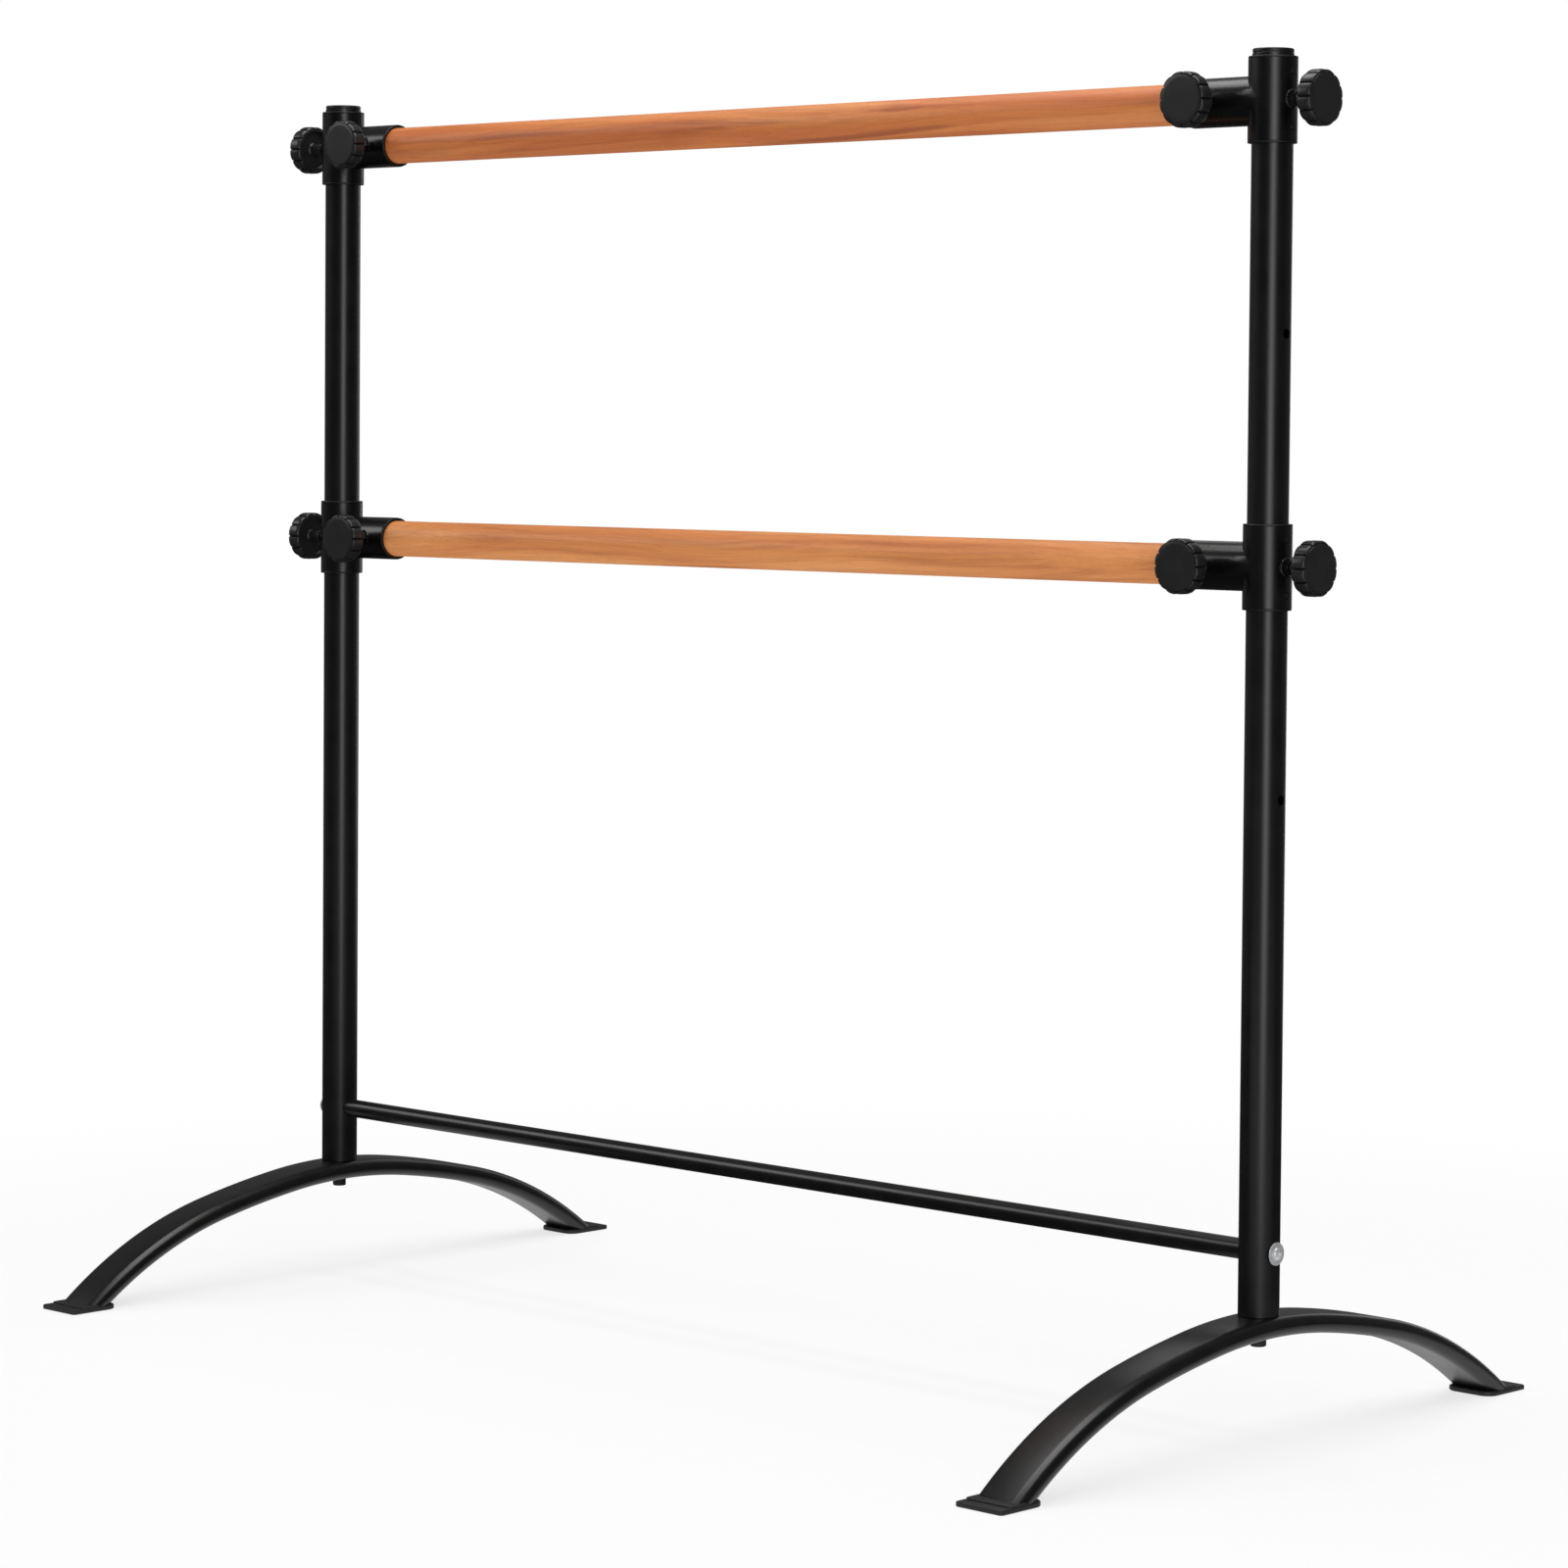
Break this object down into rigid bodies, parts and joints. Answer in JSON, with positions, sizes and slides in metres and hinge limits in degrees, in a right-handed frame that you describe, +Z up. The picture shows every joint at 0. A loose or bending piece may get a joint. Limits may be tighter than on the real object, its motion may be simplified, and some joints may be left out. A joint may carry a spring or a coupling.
{
  "type": "double ballet barre",
  "caption": "Free-standing height-adjustable double ballet barre: black steel posts on arched feet, round wooden bars in sliding brackets with lobed hand knobs.",
  "frame": {"origin": "on the floor midway between the two posts", "axes": "+X along the bars, +Y across the bars towards the back feet, +Z up; the bar-lock knobs face -Y"},
  "size_m": [1.389, 0.768, 1.2648],
  "materials": {
    "powder_coat": "satin black powder coat, fine texture",
    "bracket_coat": "semi-gloss black powder coat",
    "black_plastic": "moulded, fine grain",
    "knob_plastic": "moulded, satin face",
    "foot_rubber": "matte black",
    "zinc": "bright zinc plate",
    "black_bolt": "black oxide",
    "wood_upper": "clear satin lacquer, straight grain",
    "wood_lower": "clear satin lacquer, straight grain"
  },
  "bodies": {
    "base_frame": {"cross_tube": "powder_coat", "cross_tube_inserts": "zinc", "cross_tube_screws": "zinc", "cross_tube_washers": "zinc", "base_bolts": "black_bolt", "base_bolt_washers": "black_bolt", "left_post": "powder_coat", "left_post_cap": "black_plastic", "left_post_insert": "zinc", "left_base_arch": "powder_coat", "left_front_foot_pad": "foot_rubber", "left_back_foot_pad": "foot_rubber", "right_post": "powder_coat", "right_post_cap": "black_plastic", "right_post_insert": "zinc", "right_base_arch": "powder_coat", "right_front_foot_pad": "foot_rubber", "right_back_foot_pad": "foot_rubber"},
    "upper_rail": {"upper_left_bracket": "bracket_coat", "upper_left_top_bush": "black_plastic", "upper_left_bottom_bush": "black_plastic", "upper_left_socket_liner": "black_plastic", "upper_left_weld_nuts": "bracket_coat", "upper_right_bracket": "bracket_coat", "upper_right_top_bush": "black_plastic", "upper_right_bottom_bush": "black_plastic", "upper_right_socket_liner": "black_plastic", "upper_right_weld_nuts": "bracket_coat"},
    "upper_bar": {"upper_bar": "wood_upper"},
    "upper_left_post_stud": {"upper_left_post_stud": "black_bolt"},
    "upper_left_post_knob": {"upper_left_post_knob": "knob_plastic"},
    "upper_left_bar_stud": {"upper_left_bar_stud": "black_bolt"},
    "upper_left_bar_knob": {"upper_left_bar_knob": "knob_plastic"},
    "upper_right_post_stud": {"upper_right_post_stud": "black_bolt"},
    "upper_right_post_knob": {"upper_right_post_knob": "knob_plastic"},
    "upper_right_bar_stud": {"upper_right_bar_stud": "black_bolt"},
    "upper_right_bar_knob": {"upper_right_bar_knob": "knob_plastic"},
    "lower_rail": {"lower_left_bracket": "bracket_coat", "lower_left_top_bush": "black_plastic", "lower_left_bottom_bush": "black_plastic", "lower_left_socket_liner": "black_plastic", "lower_left_weld_nuts": "bracket_coat", "lower_right_bracket": "bracket_coat", "lower_right_top_bush": "black_plastic", "lower_right_bottom_bush": "black_plastic", "lower_right_socket_liner": "black_plastic", "lower_right_weld_nuts": "bracket_coat"},
    "lower_bar": {"lower_bar": "wood_lower"},
    "lower_left_post_stud": {"lower_left_post_stud": "black_bolt"},
    "lower_left_post_knob": {"lower_left_post_knob": "knob_plastic"},
    "lower_left_bar_stud": {"lower_left_bar_stud": "black_bolt"},
    "lower_left_bar_knob": {"lower_left_bar_knob": "knob_plastic"},
    "lower_right_post_stud": {"lower_right_post_stud": "black_bolt"},
    "lower_right_post_knob": {"lower_right_post_knob": "knob_plastic"},
    "lower_right_bar_stud": {"lower_right_bar_stud": "black_bolt"},
    "lower_right_bar_knob": {"lower_right_bar_knob": "knob_plastic"}
  },
  "joints": [
    {"name": "upper_rail_height", "type": "slide", "parent": "base_frame", "child": "upper_rail", "axis": [0, 0, 1], "range_m": [-0.21, 0]},
    {"name": "upper_bar_turn", "type": "hinge", "parent": "upper_rail", "child": "upper_bar", "pos_m": [0, 0, 1.218], "axis": [1, 0, 0], "continuous": true},
    {"name": "upper_left_post_stud_travel", "type": "slide", "parent": "upper_rail", "child": "upper_left_post_stud", "axis": [-1, 0, 0], "range_m": [-0.0033, 0.008]},
    {"name": "upper_left_post_knob_turn", "type": "hinge", "parent": "upper_left_post_stud", "child": "upper_left_post_knob", "pos_m": [-0.6785, 0, 1.218], "axis": [-1, 0, 0], "range_deg": [-950.4, 2304]},
    {"name": "upper_left_bar_stud_travel", "type": "slide", "parent": "upper_rail", "child": "upper_left_bar_stud", "axis": [0, -1, 0], "range_m": [0, 0.007]},
    {"name": "upper_left_bar_knob_turn", "type": "hinge", "parent": "upper_left_bar_stud", "child": "upper_left_bar_knob", "pos_m": [-0.574, -0.042, 1.218], "axis": [0, -1, 0], "range_deg": [0, 2016]},
    {"name": "upper_right_post_stud_travel", "type": "slide", "parent": "upper_rail", "child": "upper_right_post_stud", "axis": [1, 0, 0], "range_m": [-0.0033, 0.008]},
    {"name": "upper_right_post_knob_turn", "type": "hinge", "parent": "upper_right_post_stud", "child": "upper_right_post_knob", "pos_m": [0.6785, 0, 1.218], "axis": [1, 0, 0], "range_deg": [-950.4, 2304]},
    {"name": "upper_right_bar_stud_travel", "type": "slide", "parent": "upper_rail", "child": "upper_right_bar_stud", "axis": [0, -1, 0], "range_m": [0, 0.007]},
    {"name": "upper_right_bar_knob_turn", "type": "hinge", "parent": "upper_right_bar_stud", "child": "upper_right_bar_knob", "pos_m": [0.574, -0.042, 1.218], "axis": [0, -1, 0], "range_deg": [0, 2016]},
    {"name": "lower_rail_height", "type": "slide", "parent": "base_frame", "child": "lower_rail", "axis": [0, 0, 1], "range_m": [-0.21, 0]},
    {"name": "lower_bar_turn", "type": "hinge", "parent": "lower_rail", "child": "lower_bar", "pos_m": [0, 0, 0.798], "axis": [1, 0, 0], "continuous": true},
    {"name": "lower_left_post_stud_travel", "type": "slide", "parent": "lower_rail", "child": "lower_left_post_stud", "axis": [-1, 0, 0], "range_m": [-0.0033, 0.008]},
    {"name": "lower_left_post_knob_turn", "type": "hinge", "parent": "lower_left_post_stud", "child": "lower_left_post_knob", "pos_m": [-0.6785, 0, 0.798], "axis": [-1, 0, 0], "range_deg": [-950.4, 2304]},
    {"name": "lower_left_bar_stud_travel", "type": "slide", "parent": "lower_rail", "child": "lower_left_bar_stud", "axis": [0, -1, 0], "range_m": [0, 0.007]},
    {"name": "lower_left_bar_knob_turn", "type": "hinge", "parent": "lower_left_bar_stud", "child": "lower_left_bar_knob", "pos_m": [-0.574, -0.042, 0.798], "axis": [0, -1, 0], "range_deg": [0, 2016]},
    {"name": "lower_right_post_stud_travel", "type": "slide", "parent": "lower_rail", "child": "lower_right_post_stud", "axis": [1, 0, 0], "range_m": [-0.0033, 0.008]},
    {"name": "lower_right_post_knob_turn", "type": "hinge", "parent": "lower_right_post_stud", "child": "lower_right_post_knob", "pos_m": [0.6785, 0, 0.798], "axis": [1, 0, 0], "range_deg": [-950.4, 2304]},
    {"name": "lower_right_bar_stud_travel", "type": "slide", "parent": "lower_rail", "child": "lower_right_bar_stud", "axis": [0, -1, 0], "range_m": [0, 0.007]},
    {"name": "lower_right_bar_knob_turn", "type": "hinge", "parent": "lower_right_bar_stud", "child": "lower_right_bar_knob", "pos_m": [0.574, -0.042, 0.798], "axis": [0, -1, 0], "range_deg": [0, 2016]}
  ],
  "couplings": [
    {"joint": "upper_left_post_knob_turn", "follows": "upper_left_post_stud_travel", "rad_per_m": 5026.5},
    {"joint": "upper_left_bar_knob_turn", "follows": "upper_left_bar_stud_travel", "rad_per_m": 5026.5},
    {"joint": "upper_right_post_knob_turn", "follows": "upper_right_post_stud_travel", "rad_per_m": 5026.5},
    {"joint": "upper_right_bar_knob_turn", "follows": "upper_right_bar_stud_travel", "rad_per_m": 5026.5},
    {"joint": "lower_left_post_knob_turn", "follows": "lower_left_post_stud_travel", "rad_per_m": 5026.5},
    {"joint": "lower_left_bar_knob_turn", "follows": "lower_left_bar_stud_travel", "rad_per_m": 5026.5},
    {"joint": "lower_right_post_knob_turn", "follows": "lower_right_post_stud_travel", "rad_per_m": 5026.5},
    {"joint": "lower_right_bar_knob_turn", "follows": "lower_right_bar_stud_travel", "rad_per_m": 5026.5}
  ]
}
